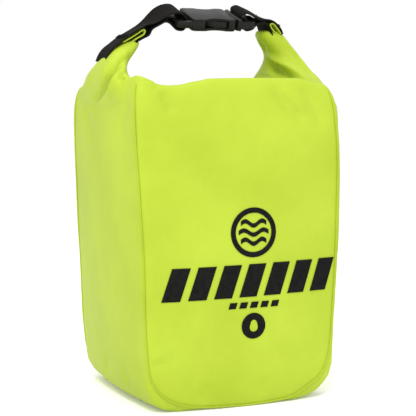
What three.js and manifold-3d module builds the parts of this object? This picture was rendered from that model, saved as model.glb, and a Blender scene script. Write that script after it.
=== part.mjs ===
// Roll-top dry bag: boxy coated-fabric bag, rolled mouth folded up into a carry loop, 25 mm side-release buckle.
// Millimetres, +Z up. X runs across the width, -Y faces the front panel. Origin: centre of the base, on the floor.
import * as THREE from 'three';
import { mergeVertices } from 'three/addons/utils/BufferGeometryUtils.js';
import Module from 'manifold-3d';

const wasm = await Module();
wasm.setup();

// ---- driving sizes ----
const BAG_WIDTH = 178;
const BAG_DEPTH = 158;
const SHOULDER_HEIGHT = 266;
const LOOP_RISE = 59;
const WEBBING_WIDTH = 25;
const TOP = SHOULDER_HEIGHT + LOOP_RISE;
const EDGE = BAG_WIDTH / 2;

// ---- fabric shell ----
const SKIN = 1.2;
const GAP = 0.3;
const FRONT_BULGE = 8;
const SIDE_BULGE = 6;
const BASE_TAPER = 0.06;
const CORNER_RADIUS = 24;
const BASE_PULL_IN = 7;
const PIPING_RADIUS = 1.5;
const CORNER_KEEP = PIPING_RADIUS + GAP + 0.4;
const TOP_CURL = 5;
const GUSSET_TOP = SHOULDER_HEIGHT - 4;
const NECK_DIP = 20;
const NECK_DIP_FLAT = 25;
const NECK_DIP_END = 50;
const NECK_LEFT_RISE = 16;
const NECK_LEFT_OUT = 12;
const NECK_RIGHT_RISE = 9;
const NECK_RIGHT_OUT = 0.8;
const TAPE_LEG = 9;
const TAPE_THICK = 0.6;
const TAPE_CLEAR = 1.15;

// ---- rolled mouth ----
const ROLL_REST = SHOULDER_HEIGHT - 10.5;
const LAYER = 0.9;
const LAYER_GAP = 0.4;
const ROLL_HALF_WIDTH = 13.6;
const ROLL_HALF_THICK = 2.4;
const STIFFENER_WIDTH = 17;
const STIFFENER_THICK = 0.6;
const SPLIT_X = 0.78;

// ---- webbing ----
const WEBBING_THICK = 1.4;
const TACK_WIDTH = WEBBING_WIDTH - 4;
const TACK_THICK = 0.8;
const TACK_LENGTH = 0.022;

// ---- buckle, measured from the parting line between its halves ----
const BUCKLE_X = 12.4;
const BUCKLE_LEAN = THREE.MathUtils.degToRad(19);
const LEAN_SLOPE = Math.tan(BUCKLE_LEAN);
const LEAN_LEFT = EDGE - 21;
const LEAN_RIGHT = EDGE - 41;
const LEAN_EASE = 15;
const LEAN_FOOT = 26;
const BUCKLE_THICK = 10.5;
const HOUSING_WIDTH = WEBBING_WIDTH + 9;
const HOUSING_LENGTH = 40.5;
const SLOT_LENGTH = 6.5;
const BAR_LENGTH = 7;
const BAR_THICK = 6;
const SLOT_WIDTH = WEBBING_WIDTH + 1.6;
const CAVITY_DEPTH = 34;
const CAVITY_HALF = HOUSING_WIDTH / 2 - 3.8;
const CAVITY_HEIGHT = 6.6;
const MOUTH_RING = 7;
const WINDOW_END = 29;
const FINGER_RADIUS = 20;
const FINGER_CUT = 3.5;
const MALE_BASE = 5;
const GUIDE_LENGTH = 29;
const GUIDE_WIDTH = 7;
const GUIDE_HEIGHT = 4.8;
const ARM_HEIGHT = 5.6;
const ARM_ROOT = 9.6;
const ARM_THICK = 2.8;
const ARM_TIP = 25.5;
const PAD_REACH = HOUSING_WIDTH / 2 - 1.2;

const YELLOW = { color: 0xcbdf44, roughness: 0.5, metalness: 0 };
const YELLOW_DEEP = { color: 0xbdd032, roughness: 0.55, metalness: 0 };
const TAPE_GREY = { color: 0xc9ccc0, roughness: 0.45, metalness: 0 };
const BLACK_WEB = { color: 0x191613, roughness: 0.85, metalness: 0 };
const BLACK_MOULDED = { color: 0x1c1b1a, roughness: 0.42, metalness: 0 };

// ---- helpers ----
function closed(geometry) {
  const bare = geometry.index ? geometry.toNonIndexed() : geometry.clone();
  bare.deleteAttribute('normal');
  bare.deleteAttribute('uv');
  return mergeVertices(bare, 1e-4);
}

function outward(geometry) {
  const p = geometry.attributes.position;
  const tri = geometry.index.array;
  const a = new THREE.Vector3();
  const b = new THREE.Vector3();
  const c = new THREE.Vector3();
  let volume = 0;
  for (let i = 0; i < tri.length; i += 3) {
    a.fromBufferAttribute(p, tri[i]);
    b.fromBufferAttribute(p, tri[i + 1]);
    c.fromBufferAttribute(p, tri[i + 2]);
    volume += a.dot(b.cross(c));
  }
  if (volume < 0) {
    for (let i = 0; i < tri.length; i += 3) {
      const keep = tri[i + 1];
      tri[i + 1] = tri[i + 2];
      tri[i + 2] = keep;
    }
  }
  return geometry;
}

function solid(geometry) {
  const g = outward(closed(geometry));
  return new wasm.Manifold(new wasm.Mesh({
    numProp: 3,
    vertProperties: new Float32Array(g.attributes.position.array),
    triVerts: new Uint32Array(g.index.array),
  }));
}

function fromSolid(manifold) {
  const mesh = manifold.getMesh();
  const g = new THREE.BufferGeometry();
  g.setAttribute('position', new THREE.BufferAttribute(new Float32Array(mesh.vertProperties), 3));
  g.setIndex(new THREE.BufferAttribute(new Uint32Array(mesh.triVerts), 1));
  return g;
}

// Bends a unit geometry: every vertex is moved to place(x, y, z).
function bend(geometry, place) {
  const g = closed(geometry);
  const p = g.attributes.position;
  for (let i = 0; i < p.count; i += 1) {
    const to = place(p.getX(i), p.getY(i), p.getZ(i));
    p.setXYZ(i, to.x, to.y, to.z);
  }
  return outward(g);
}

function part(group, name, geometry, look) {
  const g = geometry.index ? geometry : closed(geometry);
  g.computeVertexNormals();
  const mesh = new THREE.Mesh(g, new THREE.MeshStandardMaterial(look));
  mesh.name = name;
  group.add(mesh);
  return mesh;
}

// ---- shape of the bag ----
function widthAt(z) {
  const t = THREE.MathUtils.clamp(z / SHOULDER_HEIGHT, 0, 1);
  return (BAG_WIDTH / 2) * (1 - BASE_TAPER * (1 - t) ** 2 + 0.02 * Math.sin(Math.PI * t));
}

function depthAt(z) {
  const t = THREE.MathUtils.clamp(z / SHOULDER_HEIGHT, 0, 1);
  const low = Math.max(0, 1 - z / CORNER_RADIUS);
  return (BAG_DEPTH / 2) * (1 - BASE_TAPER * (1 - t) ** 2) - BASE_PULL_IN * low ** 2;
}

function fullness(z) {
  const t = THREE.MathUtils.clamp(z / SHOULDER_HEIGHT, 0, 1);
  return Math.sin(Math.PI * Math.min(1, t * 0.82 + 0.12)) ** 0.8;
}

// The U that the corner seams follow: s = 0 top left, 1 top right. n > 0 is outward.
const SIDE_RUN = GUSSET_TOP - CORNER_RADIUS;
const ARC_RUN = (Math.PI / 2) * CORNER_RADIUS;

const BOTTOM_HALF = widthAt(0) - CORNER_RADIUS;
const RING_HALF = SIDE_RUN + ARC_RUN + BOTTOM_HALF;

function ringPoint(s, n) {
  const side = s < 0.5 ? -1 : 1;
  const run = (s < 0.5 ? s : 1 - s) * 2 * RING_HALF;
  let x;
  let z;
  if (run < SIDE_RUN) {
    z = GUSSET_TOP - run;
    x = widthAt(z) + n;
  } else if (run < SIDE_RUN + ARC_RUN) {
    const turn = (run - SIDE_RUN) / CORNER_RADIUS;
    const mix = 1 - turn / (Math.PI / 2);
    const centre = BOTTOM_HALF + (widthAt(CORNER_RADIUS) - widthAt(0)) * mix;
    x = centre + (CORNER_RADIUS + n) * Math.cos(turn);
    z = CORNER_RADIUS - (CORNER_RADIUS + n) * Math.sin(turn);
  } else {
    x = BOTTOM_HALF - (run - SIDE_RUN - ARC_RUN);
    z = -n;
  }
  return new THREE.Vector3(side * x, 0, z);
}

// The share of the U at which the lower corner ends.
const RING_SIDE_END = ((SIDE_RUN + ARC_RUN) / RING_HALF) / 2;

// How far a gusset's top edge dips below the roll, so that the roll clears it when the loop is tipped over.
function neckDip(w) {
  const reach = depthAt(GUSSET_TOP) - CORNER_KEEP;
  return NECK_DIP * (1 - THREE.MathUtils.smoothstep(Math.abs(w) * reach, NECK_DIP_FLAT, NECK_DIP_END));
}

// Half width of a face panel, held inside the corner seam and its round lower corners.
function faceReach(z) {
  if (z >= CORNER_RADIUS) {
    return widthAt(z) - CORNER_KEEP;
  }
  const low = Math.min(1, 2 * (1 - z / CORNER_RADIUS));
  const inner = CORNER_RADIUS - THREE.MathUtils.lerp(CORNER_KEEP, 2 * PIPING_RADIUS + GAP + 0.1, low);
  const drop = Math.min(inner, CORNER_RADIUS - z);
  const mix = 1 - Math.asin(drop / inner) / (Math.PI / 2);
  const centre = BOTTOM_HALF + (widthAt(CORNER_RADIUS) - widthAt(0)) * mix;
  return centre + Math.sqrt(inner ** 2 - drop ** 2) - GAP * (1 - mix);
}

// ---- panels ----
function facePanel(side) {
  const low = PIPING_RADIUS * 2 + GAP;
  return bend(new THREE.BoxGeometry(1, 1, 1, 10, 1, 14), (u, n, v) => {
    const t = v + 0.5;
    const z = low + (SHOULDER_HEIGHT - low) * (t < 0.25 ? t * 0.5 + t * t * 2 : t);
    const x = 2 * u * faceReach(z);
    const curl = TOP_CURL * Math.max(0, (z - SHOULDER_HEIGHT + 14) / 14) ** 2;
    const bulge = FRONT_BULGE * fullness(z) * (1 - (2 * u) ** 2);
    const y = depthAt(z) + bulge - curl + (n - 0.5) * SKIN;
    return new THREE.Vector3(x, side * y, z);
  });
}

function gusset(side) {
  return bend(new THREE.BoxGeometry(1, 1, 1, 1, 12, 18), (n, u, v) => {
    const top = neckDip(2 * u) / (2 * RING_HALF);
    const s = THREE.MathUtils.lerp(top, RING_SIDE_END, 0.5 - v);
    const at = ringPoint(s, (n - 0.5) * SKIN);
    const mid = ringPoint(s, 0);
    const bulge = SIDE_BULGE * fullness(mid.z) * (1 - (2 * u) ** 2) * Math.min(1, mid.z / CORNER_RADIUS);
    const y = 2 * u * (depthAt(mid.z) - CORNER_KEEP);
    return new THREE.Vector3(-side * (at.x - bulge), y, at.z);
  });
}

function bottomPanel() {
  const half = BOTTOM_HALF - GAP;
  const reach = depthAt(0) - CORNER_KEEP;
  const g = new THREE.BoxGeometry(2 * half, 2 * reach, SKIN, 4, 4, 1);
  g.translate(0, 0, SKIN / 2);
  return closed(g);
}

function piping(side) {
  const round = new THREE.CylinderGeometry(PIPING_RADIUS, PIPING_RADIUS, 1, 8, 56);
  return bend(round, (a, v, b) => {
    const at = ringPoint(v + 0.5, -PIPING_RADIUS * 0.99 + a + 1.3 * sideShare(v + 0.5));
    const mid = ringPoint(v + 0.5, 0);
    return new THREE.Vector3(at.x, side * (depthAt(mid.z) - 0.2 + b), at.z);
  });
}

// 1 on the upright sides, 0 along the base, so the piping never goes under the floor.
function sideShare(s) {
  const z = ringPoint(s, 0).z;
  return THREE.MathUtils.clamp(z / CORNER_RADIUS, 0, 1);
}

function cornerTape(side) {
  const leg = new THREE.Shape();
  leg.moveTo(0, 0);
  leg.lineTo(TAPE_LEG, 0);
  leg.lineTo(TAPE_LEG, TAPE_THICK);
  leg.lineTo(TAPE_THICK, TAPE_THICK);
  leg.lineTo(TAPE_THICK, TAPE_LEG);
  leg.lineTo(0, TAPE_LEG);
  const inset = SKIN + TAPE_CLEAR;
  const g = new THREE.ExtrudeGeometry(leg, { depth: 1, steps: 36, bevelEnabled: false });
  return bend(g, (a, b, v) => {
    const s = 0.02 + 0.96 * v;
    const at = ringPoint(s, -(inset + b));
    const mid = ringPoint(s, 0);
    return new THREE.Vector3(at.x, side * (depthAt(mid.z) - inset - a), at.z);
  });
}

// ---- the loop: a flat profile in X and height, leaning forward as it rises ----
function leanAt(x, z) {
  const left = THREE.MathUtils.smoothstep(x, -LEAN_LEFT, -LEAN_LEFT + LEAN_EASE);
  const right = 1 - THREE.MathUtils.smoothstep(x, LEAN_RIGHT - LEAN_EASE, LEAN_RIGHT);
  const high = THREE.MathUtils.smoothstep(z, TOP - LEAN_FOOT - LEAN_EASE, TOP - LEAN_FOOT);
  return BUCKLE_LEAN * left * right * high;
}

function onLoop(x, z, across, lift) {
  const lean = leanAt(x, z);
  const y = -(z - ROLL_REST - 6) * LEAN_SLOPE;
  const dy = across * Math.cos(lean) - lift * Math.sin(lean);
  const dz = across * Math.sin(lean) + lift * Math.cos(lean);
  return new THREE.Vector3(x, (z > ROLL_REST + 6 ? y : 0) + dy, z + dz);
}

// Points along an open profile, with the normal turned left of the way the profile runs.
function profile(points) {
  const curve = new THREE.CatmullRomCurve3(points.map(([x, z]) => new THREE.Vector3(x, 0, z)), false, 'centripetal');
  curve.arcLengthDivisions = 400;
  return (s) => {
    const p = curve.getPointAt(s);
    const t = curve.getTangentAt(s);
    return { x: p.x, z: p.z, nx: -t.z, nz: t.x };
  };
}

function sweepOnLoop(geometry, path) {
  return bend(geometry, (across, out, v) => {
    const p = path(THREE.MathUtils.clamp(v, 0, 1));
    return onLoop(p.x + p.nx * out, p.z + p.nz * out, across, 0);
  });
}

// Heights below are offsets from the shoulder or from the top of the loop; widths follow the bag's edge.
const ARM_LEFT = [
  [-EDGE + 21.1, TOP - 15.5],
  [-EDGE + 8.6, TOP - 22.9],
  [-EDGE - 2.4, TOP - 32.2],
  [-EDGE - 6.1, TOP - 40.6],
  [-EDGE - 5, SHOULDER_HEIGHT + 10.5],
  [-EDGE + 8, SHOULDER_HEIGHT + 0.5],
  [-EDGE + 30, ROLL_REST + 1.5],
  [0, ROLL_REST],
  [EDGE * SPLIT_X, ROLL_REST + 2.5],
];
const ARM_RIGHT = [
  [EDGE * SPLIT_X + 2.6, ROLL_REST + 3],
  [EDGE - 10.8, SHOULDER_HEIGHT - 2],
  [EDGE - 9.6, SHOULDER_HEIGHT + 8],
  [EDGE - 14.6, SHOULDER_HEIGHT + 17.5],
  [EDGE - 21, TOP - 33],
  [EDGE - 27.5, TOP - 25],
  [EDGE - 32.2, TOP - 17.8],
  [EDGE - 36, TOP - 13.2],
  [EDGE - 41.5, TOP - 8.4],
];

function rollSection() {
  const w = ROLL_HALF_WIDTH;
  const t = ROLL_HALF_THICK;
  const inner = t - LAYER - LAYER_GAP;
  const line = [
    [-w + 4.1, -inner], [w - 3.2, -inner], [w - 3.2, inner], [-w + 2.2, inner],
    [-w + 2.2, -t], [w - 1, -t], [w - 1, t], [-w, t], [-w, -t + 1],
  ];
  return ribbon(line, LAYER / 2);
}

// Thickens an open polyline of square turns into an outline.
function ribbon(line, half) {
  const left = [];
  const right = [];
  for (let i = 0; i < line.length; i += 1) {
    const p = new THREE.Vector2(...line[i]);
    const before = new THREE.Vector2(...line[Math.max(0, i - 1)]);
    const after = new THREE.Vector2(...line[Math.min(line.length - 1, i + 1)]);
    const a = i > 0 ? p.clone().sub(before).normalize() : after.clone().sub(p).normalize();
    const b = i < line.length - 1 ? after.clone().sub(p).normalize() : a;
    const normal = new THREE.Vector2(-a.y - b.y, a.x + b.x);
    const sharp = 1 + a.dot(b);
    normal.multiplyScalar(half / sharp);
    left.push(p.clone().add(normal));
    right.push(p.clone().sub(normal));
  }
  return new THREE.Shape(left.concat(right.reverse()));
}

function roll(points, steps) {
  const g = new THREE.ExtrudeGeometry(rollSection(), { depth: 1, steps, bevelEnabled: false });
  return sweepOnLoop(g, profile(points));
}

function strip(points, width, thick, steps) {
  const g = new THREE.BoxGeometry(width, thick, 1, 2, 1, steps);
  g.translate(0, 0, 0.5);
  return sweepOnLoop(g, profile(points));
}

// Webbing tabs: down the outside of the roll's arm, over the buckle's bar, back under to the roll's tip.
function tabPath(side) {
  const buckle = TOP - 4;
  if (side < 0) {
    const slot = BUCKLE_X - HOUSING_LENGTH - SLOT_LENGTH / 2;
    return [
      [-EDGE - 9.8, TOP - 39.5], [-EDGE - 8.3, TOP - 34.5], [-EDGE - 5.4, TOP - 29.6], [-EDGE + 0.2, TOP - 24.7],
      [-EDGE + 6.4, TOP - 19.6], [-EDGE + 15.1, TOP - 14.4], [-EDGE + 22.7, TOP - 9.8], [-EDGE + 28.6, TOP - 6.4],
      [-EDGE + 33.2, TOP - 2.7], [-EDGE + 37, TOP + 0.5], [-EDGE + 43, TOP + 3.6], [slot - 7, TOP + 4.3],
      [slot - 1.6, TOP + 0.9], [slot, buckle], [slot - 2.4, buckle - 5.6], [slot - 9, buckle - 6.4],
      [-EDGE + 41, TOP - 8.7], [-EDGE + 33, TOP - 8.6], [-EDGE + 27.4, TOP - 12.4], [-EDGE + 25.6, TOP - 18.4],
      [-EDGE + 17.6, TOP - 22.8], [-EDGE + 10.8, TOP - 26.6], [-EDGE + 4.5, TOP - 31.8],
    ];
  }
  const slot = BUCKLE_X + MALE_BASE + SLOT_LENGTH / 2;
  return [
    [EDGE - 29, TOP - 15.6], [EDGE - 32.6, TOP - 10.4], [EDGE - 39.1, TOP - 5.3], [EDGE - 51.2, TOP - 0.5],
    [EDGE - 60, TOP + 3.3], [slot + 1.5, TOP + 5.2], [slot - 2.4, TOP + 3], [slot, buckle],
    [slot + 2.4, buckle - 6.2], [slot + 9, buckle - 7], [EDGE - 51, TOP - 10], [EDGE - 44, TOP - 12],
    [EDGE - 38.7, TOP - 16.2], [EDGE - 35.4, TOP - 20.2], [EDGE - 31.6, TOP - 26],
  ];
}

// A bar tack is the block of zigzag stitches that holds a tab to the roll.
function barTack(side, at) {
  const path = profile(tabPath(side));
  const outer = -side * ((WEBBING_THICK + TACK_THICK) / 2 + GAP);
  const g = new THREE.BoxGeometry(TACK_WIDTH, TACK_THICK, 1, 1, 1, 2);
  g.translate(0, outer, 0.5);
  return sweepOnLoop(g, (v) => path(at + TACK_LENGTH * v));
}

// ---- neck: fabric that runs from the shoulders up to the roll ----
function neckSide(side) {
  const rise = side < 0 ? NECK_LEFT_RISE : NECK_RIGHT_RISE;
  const out = side < 0 ? NECK_LEFT_OUT : NECK_RIGHT_OUT;
  return bend(new THREE.BoxGeometry(1, 1, 1, 1, 12, 8), (n, u, v) => {
    const t = v + 0.5;
    const foot = GUSSET_TOP + GAP - neckDip(2 * u);
    const z = THREE.MathUtils.lerp(foot, SHOULDER_HEIGHT + rise, t);
    const low = widthAt(foot) + SIDE_BULGE * fullness(foot) * (1 - (2 * u) ** 2);
    const x = THREE.MathUtils.lerp(low, EDGE + out, Math.sin(t * Math.PI / 2)) + (n - 0.5) * SKIN;
    const y = 2 * u * THREE.MathUtils.lerp(depthAt(foot) - CORNER_KEEP, ROLL_HALF_WIDTH + GAP, t ** 0.8);
    return new THREE.Vector3(side * x, y, z);
  });
}

function neckFace(side) {
  return bend(new THREE.BoxGeometry(1, 1, 1, 12, 6, 1), (u, v, n) => {
    const t = v + 0.5;
    const w = 2 * u;
    const edge = depthAt(SHOULDER_HEIGHT) - TOP_CURL - SKIN - 1.2;
    const inner = ROLL_HALF_WIDTH + 2.4;
    const lift = 13 * Math.abs(w) ** 4 * t;
    const sag = 12 * t * (2 - t) * (1 - 0.55 * w ** 4);
    const x = w * (EDGE - 9 - 4 * t);
    const z = SHOULDER_HEIGHT - 1 - sag + lift + n * SKIN;
    return new THREE.Vector3(x, side * THREE.MathUtils.lerp(edge, inner, t), z);
  });
}

// ---- buckle ----
function slab(x0, x1, width, height, radius) {
  const half = width / 2;
  const bevel = Math.min(1, height / 5);
  const s = new THREE.Shape();
  const hw = half - bevel;
  const a = x0 + bevel;
  const b = x1 - bevel;
  s.moveTo(a + radius, -hw);
  s.lineTo(b - radius, -hw);
  s.quadraticCurveTo(b, -hw, b, -hw + radius);
  s.lineTo(b, hw - radius);
  s.quadraticCurveTo(b, hw, b - radius, hw);
  s.lineTo(a + radius, hw);
  s.quadraticCurveTo(a, hw, a, hw - radius);
  s.lineTo(a, -hw + radius);
  s.quadraticCurveTo(a, -hw, a + radius, -hw);
  const depth = height - 2 * bevel;
  const g = new THREE.ExtrudeGeometry(s, {
    depth, bevelEnabled: true, bevelThickness: bevel, bevelSize: bevel, bevelSegments: 2, curveSegments: 4,
  });
  g.translate(0, 0, -depth / 2);
  return solid(g);
}

function block(x0, x1, y0, y1, z0, z1) {
  const g = new THREE.BoxGeometry(x1 - x0, y1 - y0, z1 - z0);
  g.translate((x0 + x1) / 2, (y0 + y1) / 2, (z0 + z1) / 2);
  return solid(g);
}

function buckleFemale() {
  const end = HOUSING_LENGTH + SLOT_LENGTH + BAR_LENGTH;
  const h = BUCKLE_THICK / 2;
  let body = slab(-HOUSING_LENGTH, 0, HOUSING_WIDTH, BUCKLE_THICK, 3);
  body = body.add(slab(-end, -HOUSING_LENGTH + 4, HOUSING_WIDTH - 1, BAR_THICK, 4));
  const slotHalf = SLOT_WIDTH / 2;
  body = body.subtract(block(-HOUSING_LENGTH - SLOT_LENGTH, -HOUSING_LENGTH, -slotHalf, slotHalf, -h - 1, h + 1));
  const c = CAVITY_HEIGHT / 2;
  body = body.subtract(block(-CAVITY_DEPTH, 1, -CAVITY_HALF, CAVITY_HALF, -c, c));
  for (const side of [-1, 1]) {
    const y0 = side < 0 ? -HOUSING_WIDTH : CAVITY_HALF - 0.5;
    const y1 = side < 0 ? -CAVITY_HALF + 0.5 : HOUSING_WIDTH;
    body = body.subtract(block(-WINDOW_END, -MOUTH_RING, y0, y1, -c, c));
    const finger = new THREE.CylinderGeometry(FINGER_RADIUS, FINGER_RADIUS, BUCKLE_THICK + 4, 40);
    finger.rotateX(Math.PI / 2);
    const reach = HOUSING_WIDTH / 2 - FINGER_CUT + FINGER_RADIUS;
    finger.translate(-(WINDOW_END + MOUTH_RING) / 2, side * reach, 0);
    body = body.subtract(solid(finger));
  }
  const end0 = new THREE.CylinderGeometry(46, 46, BUCKLE_THICK + 4, 64);
  end0.rotateX(Math.PI / 2);
  end0.translate(46 - 1.2, 0, 0);
  return fromSolid(body.subtract(solid(end0)));
}

function buckleMale() {
  const end = MALE_BASE + SLOT_LENGTH + BAR_LENGTH;
  const g = GUIDE_HEIGHT / 2;
  const slotHalf = SLOT_WIDTH / 2;
  let body = slab(GAP, end, HOUSING_WIDTH - 1, BUCKLE_THICK - 0.6, 3.5);
  body = body.subtract(block(MALE_BASE, MALE_BASE + SLOT_LENGTH, -slotHalf, slotHalf, -9, 9));
  for (const side of [-1, 1]) {
    const shave = block(MALE_BASE, end + 1, -HOUSING_WIDTH, HOUSING_WIDTH, side < 0 ? -9 : 3.2, side < 0 ? -3.2 : 9);
    body = body.subtract(shave);
    const y = side * (ARM_ROOT + 0.4);
    const pocket = ARM_THICK / 2 + 1.4;
    body = body.subtract(block(-2, 2.4, y - pocket, y + pocket, -ARM_HEIGHT / 2 - 0.5, ARM_HEIGHT / 2 + 0.5));
  }
  body = body.add(block(-GUIDE_LENGTH, 2, -GUIDE_WIDTH / 2, GUIDE_WIDTH / 2, -g, g));
  const keep = new THREE.CylinderGeometry(45, 45, BUCKLE_THICK, 64);
  keep.rotateX(Math.PI / 2);
  keep.translate(45 - 0.9, 0, 0);
  const guide = block(-GUIDE_LENGTH, 3, -GUIDE_WIDTH / 2, GUIDE_WIDTH / 2, -g, g);
  return fromSolid(body.intersect(solid(keep)).add(guide));
}

function buckleArm(side) {
  const s = new THREE.Shape();
  const r = ARM_ROOT;
  const t = ARM_THICK / 2;
  s.moveTo(2, r - t);
  s.lineTo(2, r + t);
  s.lineTo(-MOUTH_RING - 1, CAVITY_HALF - 0.4);
  s.lineTo(-MOUTH_RING - 0.6, PAD_REACH - 0.8);
  s.lineTo(-MOUTH_RING - 3, PAD_REACH);
  s.lineTo(-ARM_TIP + 7, PAD_REACH - 1.4);
  s.lineTo(-ARM_TIP, r + 0.6);
  s.lineTo(-ARM_TIP, r - 1.8);
  s.lineTo(-MOUTH_RING - 3, r - 0.8);
  const g = new THREE.ExtrudeGeometry(s, { depth: ARM_HEIGHT, steps: 1, bevelEnabled: false });
  g.translate(0, 0, -ARM_HEIGHT / 2);
  return bend(g, (x, y, z) => new THREE.Vector3(x, side * y, z));
}

// ---- assembly ----
const bag = new THREE.Group();
bag.name = 'roll_top_dry_bag';

part(bag, 'front_panel', facePanel(-1), YELLOW);
part(bag, 'back_panel', facePanel(1), YELLOW);
part(bag, 'left_gusset', gusset(-1), YELLOW);
part(bag, 'right_gusset', gusset(1), YELLOW);
part(bag, 'bottom_panel', bottomPanel(), YELLOW);
part(bag, 'front_seam_piping', piping(-1), YELLOW_DEEP);
part(bag, 'rear_seam_piping', piping(1), YELLOW_DEEP);
part(bag, 'front_seam_tape', cornerTape(-1), TAPE_GREY);
part(bag, 'rear_seam_tape', cornerTape(1), TAPE_GREY);

part(bag, 'neck_front', neckFace(-1), YELLOW);
part(bag, 'neck_rear', neckFace(1), YELLOW);
part(bag, 'neck_left', neckSide(-1), YELLOW);
part(bag, 'neck_right', neckSide(1), YELLOW);

part(bag, 'mouth_roll', roll(ARM_LEFT, 30), YELLOW_DEEP);
part(bag, 'mouth_roll_right', roll(ARM_RIGHT, 16), YELLOW_DEEP);
part(bag, 'mouth_stiffener', strip(ARM_LEFT, STIFFENER_WIDTH, STIFFENER_THICK, 30), BLACK_WEB);
part(bag, 'mouth_stiffener_right', strip(ARM_RIGHT, STIFFENER_WIDTH, STIFFENER_THICK, 16), BLACK_WEB);

part(bag, 'webbing_tab_left', strip(tabPath(-1), WEBBING_WIDTH, WEBBING_THICK, 64), BLACK_WEB);
part(bag, 'webbing_tab_right', strip(tabPath(1), WEBBING_WIDTH, WEBBING_THICK, 56), BLACK_WEB);

part(bag, 'bar_tack_left', barTack(-1, 0.16), BLACK_WEB);
part(bag, 'bar_tack_right', barTack(1, 0.07), BLACK_WEB);

const buckle = new THREE.Group();
buckle.name = 'buckle';
buckle.position.copy(onLoop(BUCKLE_X, TOP - 4, 0, 0));
buckle.rotation.x = BUCKLE_LEAN;
bag.add(buckle);
part(buckle, 'buckle_female', buckleFemale(), BLACK_MOULDED);
part(buckle, 'buckle_male', buckleMale(), BLACK_MOULDED);
part(buckle, 'buckle_arm_front', buckleArm(-1), BLACK_MOULDED);
part(buckle, 'buckle_arm_rear', buckleArm(1), BLACK_MOULDED);

export default bag;
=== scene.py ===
"""Roll-top dry bag in bright coated fabric: skin, rolled mouth, webbing, buckle, print and studio."""

import logging
import math
from dataclasses import dataclass, field
from enum import Enum
from typing import Callable, Iterable, Sequence

import bmesh
import bpy
import numpy as np
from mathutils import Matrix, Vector
from mathutils.bvhtree import BVHTree

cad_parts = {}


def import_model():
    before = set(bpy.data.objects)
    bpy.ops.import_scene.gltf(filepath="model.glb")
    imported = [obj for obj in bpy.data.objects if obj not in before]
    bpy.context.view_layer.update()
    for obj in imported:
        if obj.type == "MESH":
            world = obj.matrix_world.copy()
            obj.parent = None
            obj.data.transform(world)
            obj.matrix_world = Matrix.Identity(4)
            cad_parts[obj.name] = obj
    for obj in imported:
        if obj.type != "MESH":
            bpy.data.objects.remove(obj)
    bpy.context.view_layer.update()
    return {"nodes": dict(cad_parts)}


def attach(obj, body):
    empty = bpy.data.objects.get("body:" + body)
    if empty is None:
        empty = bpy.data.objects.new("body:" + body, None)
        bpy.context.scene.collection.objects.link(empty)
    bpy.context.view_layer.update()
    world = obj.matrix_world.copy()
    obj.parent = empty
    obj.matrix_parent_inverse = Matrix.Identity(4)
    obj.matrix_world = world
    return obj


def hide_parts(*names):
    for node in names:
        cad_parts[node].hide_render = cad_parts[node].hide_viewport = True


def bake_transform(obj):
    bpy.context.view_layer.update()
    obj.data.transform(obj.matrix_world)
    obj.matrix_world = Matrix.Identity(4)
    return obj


log = logging.getLogger("dry_bag")
MM = 0.001
Point = tuple[float, float]
Point3 = tuple[float, float, float]


class Body(str, Enum):
    """The moving bodies that pieces ride on."""

    BAG = "bag_body"
    CLOSURE = "closure"
    ROLL_RIGHT = "right_roll_arm"
    PLUG = "buckle_plug"
    RELEASE_FRONT = "front_release"
    RELEASE_REAR = "rear_release"


# ---------------------------------------------------------------- finishes


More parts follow.
